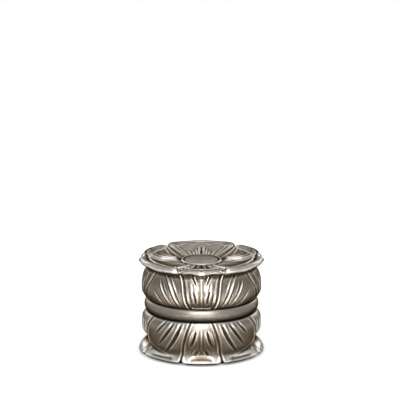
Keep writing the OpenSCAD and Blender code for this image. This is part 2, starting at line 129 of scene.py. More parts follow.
def make_world():
    world = bpy.data.worlds.new("studio")
    world.use_nodes = True
    bpy.context.scene.world = world
    back = world.node_tree.nodes["Background"]
    back.inputs["Color"].default_value = (1.0, 1.0, 1.0, 1.0)
    back.inputs["Strength"].default_value = WORLD_STRENGTH


def make_floor():
    half = FLOOR_HALF
    mesh = bpy.data.meshes.new("floor")
    corners = [(-half, -half, 0), (half, -half, 0), (half, half, 0), (-half, half, 0)]
    mesh.from_pydata(corners, [], [(0, 1, 2, 3)])
    floor = in_scene("floor", mesh)
    material = bpy.data.materials.new("floor_paper")
    material.use_nodes = True
    shader = material.node_tree.nodes["Principled BSDF"]
    shader.inputs["Base Color"].default_value = (0.85, 0.85, 0.85, 1.0)
    shader.inputs["Roughness"].default_value = 0.9
    shader.inputs["Specular IOR Level"].default_value = 0.1
    shader.inputs["Emission Color"].default_value = (1.0, 1.0, 1.0, 1.0)
    shader.inputs["Emission Strength"].default_value = 0.25
    mesh.materials.append(material)


bpy.context.scene.view_settings.view_transform = "Standard"
make_camera()
make_world()
make_floor()
for light_row in LIGHTS:
    area_light(*light_row)


# ---------------------------------------------------------------- materials

EDGE_TINT = (0.12, 0.11, 0.09, 1.0)     # keeps pewter from turning white at grazing angles
PEWTER_COLOURS = [                      # patina with painted shading, colour
    (0.00, (0.74, 0.72, 0.69)),
    (0.30, (0.29, 0.252, 0.205)),
    (0.55, (0.135, 0.108, 0.078)),
    (0.80, (0.062, 0.046, 0.032)),
    (1.00, (0.040, 0.029, 0.020)),
]
RING_COLOURS = [
    (0.00, (0.47, 0.43, 0.375)),
    (0.35, (0.25, 0.222, 0.19)),
    (0.60, (0.118, 0.100, 0.080)),
    (1.00, (0.042, 0.032, 0.024)),
]
RING_PAINTED_SHADE = (1.1, -0.05)              # painted shade at the ring's lower edge and at its upper edge
FELT_COLOURS = [(0.3, (0.022, 0.020, 0.019)), (0.7, (0.075, 0.07, 0.066))]


class Nodes:
    """Short way to build a node tree around its Principled shader."""

    def __init__(self, name):
        self.material = bpy.data.materials.new(name)
        self.material.use_nodes = True
        self.tree = self.material.node_tree
        self.shader = self.tree.nodes["Principled BSDF"]

    def add(self, kind, settings=None, **inputs):
        node = self.tree.nodes.new("ShaderNode" + kind)
        for key, value in (settings or {}).items():
            setattr(node, key, value)
        for key, value in inputs.items():
            self.feed(node, key.replace("_", " "), value)
        return node

    def feed(self, node, socket, value):
        target = node.inputs[int(socket)] if socket.isdigit() else node.inputs[socket]
        if isinstance(value, bpy.types.NodeSocket):
            self.tree.links.new(value, target)
        else:
            target.default_value = value

    def math(self, operation, first, second=0.0, clamp=False):
        node = self.add("Math", {"operation": operation, "use_clamp": clamp})
        self.feed(node, "0", first)
        self.feed(node, "1", second)
        return node.outputs[0]

    def object_place(self):
        return self.add("TexCoord").outputs["Object"]

    def noise(self, scale, detail, rough, place=None):
        place = place or self.object_place()
        node = self.add("TexNoise", Vector=place, Scale=scale, Detail=detail, Roughness=rough)
        return node.outputs["Fac"]

    def ramp(self, factor, stops):
        node = self.add("ValToRGB", Fac=factor)
        points = node.color_ramp.elements
        while len(points) < len(stops):
            points.new(0.5)
        for point, (position, colour) in zip(points, stops):
            point.position = position
            point.color = (*colour, 1.0)
        return node.outputs["Color"]

    def span(self, value, low, high, new_low, new_high):
        node = self.add("MapRange", From_Min=low, From_Max=high, To_Min=new_low, To_Max=new_high)
        self.feed(node, "Value", value)
        return node.outputs[0]

    def clouded(self, value, scale, amount):
        """The value with soft clouds of noise in it, kept between 0 and 1."""
        cloud = self.math("SUBTRACT", self.noise(scale, 4.0, 0.6), 0.5)
        return self.math("ADD", value, self.math("MULTIPLY", cloud, amount), clamp=True)

    def bump(self, height, strength, distance):
        node = self.add("Bump", Height=height, Strength=strength, Distance=distance)
        self.feed(self.shader, "Normal", node.outputs["Normal"])

    def set(self, **inputs):
        for key, value in inputs.items():
            self.feed(self.shader, key.replace("_", " "), value)


def cast_pewter():
    """Antique pewter: pale polished high spots and brown patina, with painted shade and highlights, as the
    mesh's value at each point says.
    """
    n = Nodes("cast_pewter")
    patina_and_shading = n.add("Attribute", {"attribute_name": "patina_and_shading"}).outputs["Fac"]
    tone_and_shading = n.clouded(patina_and_shading, 260.0, 0.22)
    n.set(Base_Color=n.ramp(tone_and_shading, PEWTER_COLOURS), Metallic=1.0, Specular_Tint=EDGE_TINT,
          Roughness=n.span(tone_and_shading, 0.0, 0.8, 0.28, 0.48))
    fine_grain = n.math("MULTIPLY", n.noise(3200.0, 2.0, 0.5), 0.5)
    n.bump(n.math("ADD", n.noise(900.0, 3.0, 0.6), fine_grain), 0.10, 0.0002)
    return n.material


def turned_metal(name, pale, deep, rough, line_scale):
    """Lathe-turned metal: fine rings about the axis, slight colour drift and smudges."""
    n = Nodes(name)
    place = n.object_place()
    drift = n.noise(120.0, 3.0, 0.6, place)
    parts = n.add("SeparateXYZ", Vector=place)
    radius = n.add("VectorMath", {"operation": "LENGTH"})
    flat = n.add("CombineXYZ", X=parts.outputs["X"], Y=parts.outputs["Y"])
    n.feed(radius, "0", flat.outputs[0])
    along = n.math("ADD", radius.outputs["Value"], parts.outputs["Z"])
    rings = n.add("CombineXYZ", X=n.math("MULTIPLY", along, line_scale))
    lines = n.noise(1.0, 4.0, 0.7, rings.outputs[0])
    n.set(Base_Color=n.ramp(drift, [(0.3, pale), (0.7, deep)]), Metallic=1.0,
          Roughness=n.span(n.math("ADD", drift, lines), 0.6, 1.4, rough - 0.06, rough + 0.10))
    n.bump(lines, 0.12, 0.0001)
    return n.material


def ring_pewter():
    """Softly polished pewter, with painted shading: pale along the band's top and darker towards its lower
    edge.
    """
    n = Nodes("ring_pewter")
    low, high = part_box("middle_ring")
    level = n.add("SeparateXYZ", Vector=n.object_place()).outputs["Z"]
    tone_and_shading = n.clouded(n.span(level, low.z, high.z, *RING_PAINTED_SHADE), 180.0, 0.2)
    n.set(Base_Color=n.ramp(tone_and_shading, RING_COLOURS), Metallic=1.0, Specular_Tint=EDGE_TINT,
          Roughness=n.span(tone_and_shading, 0.0, 0.8, 0.34, 0.44))
    n.bump(n.noise(1400.0, 3.0, 0.6), 0.05, 0.0001)
    return n.material


def felt():
    """Pressed wool felt with a fuzzy surface."""
    n = Nodes("felt")
    fuzz = n.noise(2600.0, 5.0, 0.75)
    n.set(Base_Color=n.ramp(fuzz, FELT_COLOURS), Roughness=0.95, Sheen_Weight=0.4, Sheen_Roughness=0.6)
    n.bump(fuzz, 0.6, 0.0003)
    return n.material


FINISHES = {
    "cast_pewter": cast_pewter(),
    "ring_pewter": ring_pewter(),
    "brass": turned_metal("brass", (0.62, 0.44, 0.19), (0.50, 0.34, 0.14), 0.28, 9000.0),
    "steel": turned_metal("steel", (0.27, 0.27, 0.275), (0.20, 0.20, 0.205), 0.34, 9000.0),
    "spring_steel": turned_metal("spring_steel", (0.30, 0.30, 0.32), (0.22, 0.22, 0.24), 0.32, 5000.0),
    "bronze": turned_metal("bronze", (0.55, 0.33, 0.17), (0.42, 0.24, 0.12), 0.34, 9000.0),
    "felt": felt(),
}


def finish_cad_nodes():
    slots = {row["node"]: row["material_slot"] for row in frame["record"]["subparts"]}
    for name, piece in frame["nodes"].items():
        piece.data.materials.clear()
        piece.data.materials.append(FINISHES[slots[name]])


finish_cad_nodes()


# ---------------------------------------------------------------- relief tools

def smooth(t):
    s = np.clip(t, 0.0, 1.0)
    return s * s * (3.0 - 2.0 * s)


def between(value, low, high, low_fade, high_fade):
    """1 from low to high and 0 outside them, fading just inside each end."""
    return smooth((value - low) / low_fade) * smooth((high - value) / high_fade)


def mix(a, b, t):
    return a + (b - a) * t


def bell(distance, width):
    return np.exp(-np.square(distance / width))


def curve_through(points, at):
    """Smooth curve through a few (level, value) points, read at the given levels."""
    levels, values = np.array(points, float).T
    fit = np.polyfit(levels, values, min(3, len(points) - 1))
    return np.polyval(fit, np.clip(at, levels.min(), levels.max()))


def stroke(azimuth, level, radius, path, width, height, belly=0.5, ends=(0.25, 0.25), widest=0.5):
    """Raised (height > 0) or sunk stroke that follows path, a list of (azimuth, level) points.
    belly is how much the stroke narrows away from its widest place, and ends are the tapers, in shares of
    its length counted from its lower end."""
    points = [(z, a) for a, z in path]
    low, high = min(points)[0], max(points)[0]
    t = (level - low) / (high - low)
    taper = smooth(t / ends[0]) * smooth((1.0 - t) / ends[1])
    side = np.radians(azimuth - curve_through(points, level)) * radius
    off_widest = np.clip((t - widest) / max(widest, 1.0 - widest), -1.0, 1.0)
    return height * taper * bell(side, width * (1.0 - belly * np.square(off_widest)))


def strokes(azimuth, level, radius, rows):
    """Sum of the strokes in rows of (path, width, height, other settings of the stroke)."""
    return sum(stroke(azimuth, level, radius, path, width, height, **settings)
               for path, width, height, settings in rows)


def beside(path, turn, lift=0.0):
    """The path moved by a few degrees, and up."""
    return [(azimuth + turn, level + lift) for azimuth, level in path]


def edge_lines(past_edge, rows):
    """Soft lines that follow an edge, from rows of (distance past the edge, width, height)."""
    return sum(height * bell(past_edge - distance, width) for distance, width, height in rows)


def crowned(azimuth, start, end, height):
    """Soft crown of a petal between its two edges, nil outside them."""
    across = (2.0 * azimuth - start - end) / (end - start)
    return np.where(np.abs(across) < 1.0, height * (1.0 - np.square(across)), 0.0)


def bulge(level, middle, half, low, high):
    """Radius that is high at the middle level and falls to low at half above it and below it."""
    return low + (high - low) * (1.0 - np.clip(np.abs(level - middle) / half, 0.0, 1.0) ** 3)


def soft_positive(value, blend):
    """The positive part of a value, rounded over the given distance."""
    return 0.5 * (value + np.sqrt(np.square(value) + blend * blend))


def edge_rounding(level, low, high, radius):
    """Pull inwards at the two ends of a casting so that its edges are rounded, not sharp."""
    near = np.minimum(level - low, high - level)
    step = np.clip(1.0 - near / radius, 0.0, 1.0)
    return radius * (1.0 - np.sqrt(1.0 - step * step))


def fold_quarter(azimuth):
    """Azimuth mirrored into the quarter from the front (0) to the side (90)."""
    turn = np.mod(azimuth, 180.0)
    return np.minimum(turn, 180.0 - turn)


# ---------------------------------------------------------------- patina and painted shade

PATINA_BASE = 0.42
PATINA_MOST = 0.88
PATINA_INSIDE = 0.45
FINE_PASSES = 10            # softening that shows up grooves and ridges
BROAD_PASSES = 60           # softening that shows up whole troughs and swells


def blur(grid, passes):
    """Softens a grid that wraps round along its second axis."""
    for _ in range(passes):
        grid = (np.roll(grid, 1, 1) + 2.0 * grid + np.roll(grid, -1, 1)) / 4.0
        padded = np.concatenate([grid[:1], grid, grid[-1:]])
        grid = (padded[:-2] + 2.0 * padded[1:-1] + padded[2:]) / 4.0
    return grid


def grid_normals(points):
    along = np.roll(points, -1, 1) - np.roll(points, 1, 1)
    up = np.gradient(points, axis=0)
    normal = np.cross(along, up)
    return normal / np.maximum(np.linalg.norm(normal, axis=2, keepdims=True), 1e-9)


def hollow(points, passes):
    """How far each point lies below its softened surroundings, in millimetres, along the normal."""
    return np.sum((blur(points, passes) - points) * grid_normals(points), axis=2)


def patina_and_shading_of(points, base=PATINA_BASE):
    """Patina by place, deeper in hollows and rubbed off the ridges, with painted shade on faces that look down.
    """
    grooves = 0.36 * np.tanh(hollow(points, FINE_PASSES) / 0.2)
    troughs = 0.5 * hollow(points, BROAD_PASSES)
    # painted shade: faces that look down are darkened
    painted_shade_below = 0.24 * smooth((0.08 - grid_normals(points)[..., 2]) / 0.6)
    return np.clip(base + grooves + troughs + painted_shade_below, 0.0, PATINA_MOST)


def lip_shade(level):
    """Factor on the patina of the wall below the overhanging rim: painted shadow of the rim, which darkens
    flats and hollows much more than the ridges.
    """
    return 1.0 + smooth((level - 54.4) / 2.6)


# ---------------------------------------------------------------- grids and meshes

COLUMNS = 900
CAP_COLUMNS = 720
AZIMUTH = np.arange(COLUMNS)[None, :] * 360.0 / COLUMNS


def turned_grid(azimuth, radius, level):
    """Points in millimetres from azimuth, radius and level grids."""
    angle = np.radians(azimuth)
    return np.stack([radius * np.sin(angle), -radius * np.cos(angle), level * np.ones_like(angle)], axis=2)


def patina_and_shading_mesh(name, points, faces, patina_and_shading):
    """Smooth mesh, from points in millimetres, that carries a value of patina and painted shading at every
    point.
    """
    mesh = bpy.data.meshes.new(name)
    mesh.from_pydata((points * MM).tolist(), [], faces.tolist())
    mesh.update()
    layer = mesh.attributes.new("patina_and_shading", "FLOAT", "POINT")
    layer.data.foreach_set("value", patina_and_shading.astype(np.float32))
    mesh.shade_smooth()
    return in_scene(name, mesh)


def grid_piece(name, points, patina_and_shading):
    """Closed mesh from a grid of points that wraps round along its columns and along its rows."""
    rows, columns = points.shape[:2]
    lower = np.arange(rows * columns).reshape(rows, columns)
    upper = np.roll(lower, -1, 0)
    faces = np.stack([lower, np.roll(lower, -1, 1), np.roll(upper, -1, 1), upper], axis=2)
    return patina_and_shading_mesh(name, points.reshape(-1, 3), faces.reshape(-1, 4), patina_and_shading.reshape(-1))


def shell_piece(name, azimuth, outside, patina_and_shading, corners):
    """Casting from its outside grid and the (radius, level) corners of its plain turned inside."""
    inside = np.concatenate([turned_grid(azimuth, r, z) for r, z in corners])
    lining = np.full(inside.shape[:2], PATINA_INSIDE)
    return grid_piece(name, np.concatenate([outside, inside]), np.concatenate([patina_and_shading, lining]))


# ---------------------------------------------------------------- sizes shared with the CAD

def level_range(node):
    """Lowest and highest level of a CAD piece, in millimetres."""
    low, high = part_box(node)
    return low.z / MM, high.z / MM


LOWER_BOTTOM, LOWER_TOP = level_range("lower_lotus")
UPPER_BOTTOM, UPPER_TOP = level_range("upper_lotus")
CAP_BOTTOM = level_range("flower_cap")[0]
PLATE_TOP = level_range("base_plate")[1]
DIAL_EDGE = UPPER_TOP + 0.1     # dial and cap meet in a hairline that hides their running gap
LID_EDGE = CAP_BOTTOM - 0.14
BORE_R = 31.6
RECESS_R = 33.1
WALL_R = RECESS_R + 0.3         # no groove cuts deeper than this
SHOULDER = 1.4
NUT_ROOM = 2.0


# ---------------------------------------------------------------- upper lotus

UPPER_WIDEST = 44.2             # level
UPPER_R = 37.3
UPPER_TOP_R = 33.8
UPPER_LOW_R = 33.9
UPPER_LOW_HALF = 8.9            # from the widest level down to the narrowest
CROWN_HEIGHT = 12.5             # from the widest level up to the narrowest

# edges of the petals, as (level, azimuth)
UPPER_FRONT_SEAM = [(34.5, 10.0), (41.5, 14.4), (48.5, 17.1), (54.3, 18.3), (58.5, 22.8)]
UPPER_LEAF_EDGE = [(35.3, 59.6), (39.6, 65.0), (42.8, 65.6), (46.0, 63.2), (50.2, 58.6), (58.0, 56.0)]
UPPER_SIDE_SEAM = [(34.5, 76.0), (42.0, 69.0), (50.0, 60.5), (58.0, 56.0)]

# front petal: inner spears, side ribs and the short veins under the lip
UPPER_FRONT_STROKES = [
    ([(5.2, 39.0), (6.2, 43.6), (8.2, 49.0)], 0.52, -0.75, {}),
    ([(7.0, 39.5), (8.2, 45.0), (11.6, 54.0)], 1.0, 0.34, {"ends": (0.4, 0.25)}),
    ([(9.2, 39.0), (11.0, 45.0), (11.8, 50.5)], 0.42, -0.42, {}),
    ([(4.2, 41.0), (4.9, 46.0), (7.8, 53.5)], 0.9, 0.26, {"ends": (0.4, 0.25)}),
    ([(5.4, 51.8), (8.0, 55.0), (11.5, 58.4)], 0.5, -0.62, {}),
    ([(3.7, 50.8), (5.6, 54.0), (8.6, 58.4)], 0.42, 0.38, {}),
    ([(2.6, 53.0), (5.4, 57.8)], 0.4, -0.35, {}),
]
# shoulder petal: three leaning ribs, as path, width and height
UPPER_RIBS = [
    ([(20.8, 35.5), (26.4, 42.3), (29.3, 46.7), (32.4, 50.6), (36.4, 54.3), (42.5, 58.4)], 1.05, 1.0),
    ([(28.5, 35.5), (35.4, 41.5), (38.6, 44.6), (43.0, 49.5), (46.6, 53.6)], 0.75, 0.8),
    ([(37.5, 35.5), (42.6, 38.9), (47.2, 42.4), (54.6, 46.8)], 0.55, 0.8),
]
UPPER_RIB_SHAPE = {"belly": 0.8, "ends": (0.75, 0.2), "widest": 0.62}
# side petal: soft ribs fanning up from its base, as azimuth at the base, azimuth at the top, width and height
UPPER_FAN = [(83.5, 79.5, 0.6, 0.3), (78.5, 71.5, 0.6, 0.35)]
# side petal: two pale folds under the lip
UPPER_LIP_FOLDS = [
    ([(65.0, 44.0), (61.8, 49.5), (58.4, 56.5)], 1.2, 0.45, {"ends": (0.7, 0.2)}),
    ([(71.5, 46.5), (68.0, 55.5)], 0.8, 0.5, {"ends": (0.7, 0.2)}),
]


def upper_strokes():
    """All strokes of the upper lotus, as rows for strokes()."""
    rows = UPPER_FRONT_STROKES + UPPER_LIP_FOLDS
    # every rib has a sunk line on either side, and a lower fold beyond the inner one
    for path, width, height in UPPER_RIBS:
        rows = rows + [
            (path, width, height, UPPER_RIB_SHAPE),
            (beside(path, 1.5 + width), width * 0.6, -0.4 * height, {"ends": (0.25, 0.35)}),
            (beside(path[:-1], -2.6), width * 0.5, -0.55 * height, {"ends": (0.25, 0.6)}),
            (beside(path[1:], -4.0, 0.4), width * 0.55, 0.5 * height, {"ends": (0.5, 0.35)}),
        ]
    # every rib of the fan has a sunk line beside it
    for base_az, top_az, width, height in UPPER_FAN:
        middle_az = (base_az + top_az) / 2 + 0.8
        line = [(base_az + 2.2, 37.5), (middle_az + 2.2, 45.0), (top_az + 2.4, 53.0)]
        rows = rows + [
            ([(base_az, 37.5), (middle_az, 45.0), (top_az, 54.5)], width, height, {}),
            (line, width * 0.8, -height, {}),
        ]
    return rows


def crown(level):
    """Radius of the upper lotus above its widest level, drawing in smoothly towards the rim of the cap."""
    t = np.clip((level - UPPER_WIDEST) / CROWN_HEIGHT, 0.0, 1.0)
    return UPPER_TOP_R + (UPPER_R - UPPER_TOP_R) * (1.0 - t ** 2.2) ** 1.5


def upper_radius(azimuth, level):
    """Radius of the upper lotus; it also shapes the short neck of the cap above it."""
    a, level = np.broadcast_arrays(fold_quarter(azimuth), level)
    below = bulge(level, UPPER_WIDEST, UPPER_LOW_HALF, UPPER_LOW_R, UPPER_R)
    r = np.where(level > UPPER_WIDEST, crown(level), below)
    front = curve_through(UPPER_FRONT_SEAM, level)
    leaf = curve_through(UPPER_LEAF_EDGE, level)
    side = curve_through(UPPER_SIDE_SEAM, level)
    deg = np.radians(1.0) * r
    past_front, past_leaf, past_side = (a - front) * deg, (a - leaf) * deg, (a - side) * deg

    # crowns of the petals, the gap between shoulder and side petal, and the lines along the seams
    h = crowned(a, -front, front, 0.45) + crowned(a, front, leaf, 0.3)
    h = h + crowned(a, side, 180.0 - side, 0.4)
    h = h - 0.25 * smooth(past_leaf / 0.5) * smooth(-past_side / 0.5)
    seam_depth = mix(0.6, 0.3, smooth((level - 41.0) / 9.0))
    h = h + edge_lines(past_front, [(-1.35, 0.5, 0.15), (-0.1, 0.45, -seam_depth), (1.1, 0.6, 0.65)])
    h = h + edge_lines(past_leaf, [(-1.0, 0.45, 0.15), (0.0, 0.45, -0.2)])
    h = h + edge_lines(past_side, [(0.0, 0.5, -0.12), (1.2, 0.5, 0.15)])

    # front petal: midrib, the sunk line beside it, and the bead at the base
    h = h + 0.16 * bell(a * deg, 0.45) * between(level, 38.0, 55.0, 2.0, 3.0)
    h = h - 0.16 * bell(a * deg - 1.3, 0.5)
    bead_level = 36.7 + 0.12 * np.cos(np.radians(a * 36.0))
    h = h + 0.75 * smooth((10.3 - a) * deg / 0.7) * bell(level - bead_level, 0.55)
    return np.maximum(r + h + strokes(a, level, r, upper_strokes()), WALL_R)


def make_upper_lotus():
    rows = np.concatenate([
        [0.0, 0.004, 0.012, 0.022], np.linspace(0.035, 0.965, 92), [0.978, 0.988, 0.996, 1.0]])
    level = mix(UPPER_BOTTOM, DIAL_EDGE, rows)[:, None]
    radius = upper_radius(AZIMUTH, level) - edge_rounding(level, UPPER_BOTTOM, DIAL_EDGE, 0.05)
    outside = turned_grid(AZIMUTH, radius, level)
    patina_and_shading = patina_and_shading_of(outside) * lip_shade(level)
    patina_and_shading = patina_and_shading + 0.45 * smooth((UPPER_BOTTOM + 2.0 - level) / 2.0)
    # painted shade across the middle of the front petal and a painted highlight higher up; on the other petals
    # a painted shade low down and a painted highlight just under the rim
    on_front = smooth((14.0 - fold_quarter(AZIMUTH)) / 4.0)
    patina_and_shading = patina_and_shading + on_front * (0.36 * bell(level - 39.5, 5.0) - 0.14 * bell(level - 49.5, 4.0))
    patina_and_shading = patina_and_shading + (1.0 - on_front) * (0.14 * bell(level - 38.0, 4.0) - 0.12 * bell(level - 54.5, 2.0))
    return shell_piece("upper_lotus_casting", AZIMUTH, outside, np.clip(patina_and_shading, 0.0, 1.0), [
        (RECESS_R, DIAL_EDGE), (RECESS_R, UPPER_TOP - NUT_ROOM), (BORE_R, UPPER_TOP - NUT_ROOM),
        (BORE_R, UPPER_BOTTOM + SHOULDER), (RECESS_R, UPPER_BOTTOM + SHOULDER), (RECESS_R, UPPER_BOTTOM)])


# ---------------------------------------------------------------- lower lotus and foot

LOWER_WIDEST = 19.9             # level
LOWER_R = 37.0
BODY_LOW_R = 33.5
BODY_HALF = 8.2                 # from the widest level to the narrowest
LEAF_LOW_R = 34.0
LEAF_HALF = 15.0
LEAF_END = 7.0                  # level of the shoulder petal's round lower end
LEAF_ROUND = 5.5
NECK_R = 33.7
NECK_LEVEL = 10.5
FOOT_R = 39.0
FOOT_RISE = 7.5
FOOT_CORNER = 5.0

# edges of the petals, as (level, azimuth)
LOWER_FRONT_SEAM = [(28.0, 11.0), (21.0, 14.6), (14.0, 17.3), (7.0, 19.0), (0.0, 19.6)]
LOWER_LEAF_EDGE = [(28.0, 55.0), (23.0, 61.0), (18.0, 65.0), (13.0, 65.0)]
LOWER_SIDE_SEAM = [(28.0, 58.0), (20.0, 66.0), (12.0, 69.5), (5.0, 67.0), (0.0, 66.0)]

# front petal: long spears and short foot veins
LOWER_FRONT_STROKES = [
    ([(11.6, 11.0), (9.0, 14.5), (6.6, 19.0), (5.5, 23.2)], 0.62, -0.95, {"belly": 0.6}),
    ([(8.2, 11.5), (6.0, 15.5), (3.8, 21.5)], 0.5, 0.28, {}),
    ([(13.6, 12.0), (11.4, 17.0), (8.6, 23.0)], 0.6, 0.25, {}),
    ([(7.2, 6.4), (3.0, 9.8)], 0.5, -0.55, {}),
    ([(9.4, 7.2), (5.0, 10.8)], 0.4, 0.3, {}),
    ([(5.0, 6.0), (1.6, 9.4)], 0.4, 0.28, {}),
]
# shoulder petal: three dark spears, as path, width and height
LOWER_SPEARS = [
    ([(40.5, 5.0), (36.5, 8.0), (32.2, 11.0), (27.6, 15.4), (23.2, 21.0), (20.3, 27.0)], 1.05, -1.0),
    ([(46.0, 10.4), (42.2, 13.8), (37.0, 17.6), (32.0, 22.5), (28.2, 27.2)], 0.95, -0.85),
    ([(49.5, 17.6), (43.0, 22.3), (36.6, 27.6)], 0.8, -0.7),
]
LOWER_SPEAR_SHAPE = {"belly": 0.7, "ends": (0.35, 0.2)}
# side petal: ribs, as azimuth at the base, azimuth at the top, width and height
LOWER_FAN = [(82.0, 84.0, 0.6, 0.45), (75.5, 77.5, 0.6, 0.5), (71.5, 69.5, 0.5, 0.4)]


def lower_strokes():
    """All strokes of the lower lotus, as rows for strokes()."""
    rows = LOWER_FRONT_STROKES
    # every spear lies between two flat folds
    for path, width, height in LOWER_SPEARS:
        rows = rows + [
            (path, width, height, LOWER_SPEAR_SHAPE),
            (beside(path, 2.7), width * 0.5, 0.26, {"ends": (0.6, 0.06)}),
            (beside(path, -2.5), width * 0.5, 0.18, {"ends": (0.6, 0.1)}),
        ]
    # every rib has a sunk line beside it
    for base_az, top_az, width, height in LOWER_FAN:
        middle_az = (base_az + top_az) / 2
        line = [(base_az, 11.5), (middle_az, 19.0), (top_az, 25.0)]
        rows = rows + [
            ([(base_az, 11.5), (middle_az, 19.0), (top_az, 26.0)], width, height, {}),
            (beside(line, 2.4), width, -height, {}),
        ]
    return rows


def foot_relief(a, level, deg, seam_gap):
    """Foot of every petal: a rolled rim with round corners, with troughs and folds behind it."""
    lift = level - LOWER_BOTTOM
    h = -1.6 * np.square(np.clip(1.0 - lift / 2.8, 0.0, 1.0))
    near_seam = np.clip(FOOT_CORNER - seam_gap, 0.0, None)
    near_floor = np.clip(FOOT_CORNER - lift, 0.0, None)
    inset = np.where(near_seam * near_floor > 0,
                     FOOT_CORNER - np.hypot(near_seam, near_floor), np.minimum(seam_gap, lift))
    rim = 0.45 * bell(inset - 1.2, 0.75) - 1.7 * smooth((0.45 - inset) / 1.2)
    h = h + rim * smooth((7.0 - level) / 3.0)
    # shoulder petal: a trough with a fold above it
    on_shoulder = between(a, 25.0, 58.0, 6.0, 10.0)
    h = h + on_shoulder * (0.3 * bell(level - 5.7, 0.55) - 0.75 * bell(level - 3.9, 1.0))
    # front petal: a flat arch with a hollow below it, and the end of the midrib
    arch = 6.9 - 0.009 * np.square(a)
    h = h + 0.2 * smooth((12.0 - a) / 2.5) * bell(level - arch, 0.5)
    h = h - 0.5 * smooth((12.0 - a) / 3.0) * bell(level - (arch - 2.3), 1.2)
    h = h + 0.15 * bell(a * deg, 0.35) * smooth(5.5 - level)
    # side petal: a hollow, and a knob beside the end of the shoulder petal
    h = h - 0.45 * smooth((a - 72.0) / 5.0) * bell(level - 4.0, 1.2)
    return h + 0.6 * bell((a - 60.0) * deg, 1.3) * bell(level - 7.0, 1.1)


def lower_radius(azimuth, level):
    """Radius of the lower lotus and its foot; the shoulder petal lies over the body and reaches lower."""
    a, level = np.broadcast_arrays(fold_quarter(azimuth), level)
    flare = smooth((NECK_LEVEL - level) / FOOT_RISE)
    foot_r = NECK_R + (FOOT_R - NECK_R) * flare
    body = bulge(level, LOWER_WIDEST, BODY_HALF, BODY_LOW_R, LOWER_R)
    over = bulge(level, LOWER_WIDEST, LEAF_HALF, LEAF_LOW_R, LOWER_R)
    over = np.where(level < LOWER_WIDEST, over, body)
    r_body = foot_r + soft_positive(body - foot_r, 0.9)
    r_leaf = foot_r + soft_positive(over - foot_r, 2.4)
    front = curve_through(LOWER_FRONT_SEAM, level)
    leaf = curve_through(LOWER_LEAF_EDGE, level)
    leaf = leaf - 20.0 * np.clip((LEAF_END + LEAF_ROUND - level) / LEAF_ROUND, 0.0, 1.3) ** 2.2
    side = curve_through(LOWER_SIDE_SEAM, level)
    r = mix(r_body, r_leaf, smooth(0.5 + (leaf - a) * np.radians(1.0) * r_body / 1.2))
    deg = np.radians(1.0) * r
    past_front, past_leaf, past_side = (a - front) * deg, (a - leaf) * deg, (a - side) * deg
    above = smooth((level - 8.0) / 2.5)

    # crowns of the petals, the gap between shoulder and side petal, and the lines along the seams
    h = crowned(a, -front, front, 0.4) + above * crowned(a, front, leaf, 0.3)
    h = h + crowned(a, side, 180.0 - side, 0.35)
    h = h - 0.35 * above * smooth(past_leaf / 0.5) * smooth(-past_side / 0.5)
    seam_depth = mix(mix(0.55, 0.3, smooth((level - 15.0) / 8.0)), 0.9, flare)
    h = h - seam_depth * bell(past_front, mix(0.45, 0.6, flare))
    h = h + (1.0 - flare) * edge_lines(past_front, [(-1.4, 0.5, 0.2), (1.3, 0.5, 0.1)])
    h = h + above * edge_lines(past_leaf, [(-1.0, 0.5, 0.08), (0.0, 0.5, -0.2)])
    h = h + edge_lines(past_side, [(0.0, 0.6, -mix(0.3, 1.0, flare)), (1.2, 0.5, 0.2 * (1.0 - flare))])

    # front petal: midrib and the sunk line beside it
    h = h + 0.14 * bell(a * deg, 0.4) * between(level, 12.0, 26.0, 3.0, 2.0)
    h = h - 0.18 * bell(a * deg - 1.25, 0.55) * between(level, 9.0, 24.5, 3.0, 3.0)
    h = h + strokes(a, level, r, lower_strokes())
    h = h + foot_relief(a, level, deg, np.minimum(np.abs(past_front), np.abs(past_side)))
    return np.maximum(r + h, WALL_R)


def make_lower_lotus():
    rows = np.concatenate([
        [0.0, 0.004, 0.010, 0.018, 0.027], np.linspace(0.037, 0.973, 92), [0.984, 0.992, 0.997, 1.0]])
    level = mix(LOWER_BOTTOM, LOWER_TOP, rows)[:, None]
    radius = lower_radius(AZIMUTH, level) - edge_rounding(level, LOWER_BOTTOM, LOWER_TOP, 0.9)
    outside = turned_grid(AZIMUTH, radius, level)
    turn = fold_quarter(AZIMUTH)
    # painted shade under the neck, darker at the top edge, a painted contact shadow along the underside of the
    # foot, and deeper patina along the front seam
    patina_and_shading = patina_and_shading_of(outside) + 0.06 * bell(level - 11.5, 4.0)
    patina_and_shading = patina_and_shading + 0.4 * smooth((level - LOWER_TOP + 1.0) / 1.2)
    patina_and_shading = patina_and_shading + smooth((LOWER_BOTTOM + 2.0 - level) / 0.8)
    seam_mm = (turn - curve_through(LOWER_FRONT_SEAM, level)) * np.radians(1.0) * radius
    patina_and_shading = patina_and_shading + 0.3 * bell(seam_mm, 2.0) * bell(level - 16.0, 8.0)
    # painted shade and painted highlights: front petal, then shoulder petal, then side petal
    patina_and_shading = patina_and_shading + 0.38 * smooth((17.0 - turn) / 4.0) * bell(level - 14.0, 5.0)
    patina_and_shading = patina_and_shading + 0.25 * smooth((12.5 - turn) / 3.0) * bell(level - 4.1, 1.1)
    patina_and_shading = patina_and_shading - 0.32 * bell(turn - 13.0, 6.0) * bell(level - 5.5, 3.0)
    on_shoulder = between(turn, 18.0, 64.0, 5.0, 5.0)
    patina_and_shading = patina_and_shading + on_shoulder * (0.19 * bell(level - 15.5, 7.0) - 0.22 * bell(level - 5.2, 2.0))
    patina_and_shading = patina_and_shading - 0.4 * smooth((turn - 66.0) / 8.0) * bell(level - 6.0, 3.5)
    return shell_piece("lower_lotus_casting", AZIMUTH, outside, np.clip(patina_and_shading, 0.0, 1.0), [
        (RECESS_R, LOWER_TOP), (RECESS_R, LOWER_TOP - SHOULDER), (BORE_R, LOWER_TOP - SHOULDER),
        (BORE_R, PLATE_TOP), (RECESS_R - 0.1, PLATE_TOP), (RECESS_R - 0.1, LOWER_BOTTOM)])


# ---------------------------------------------------------------- flower cap

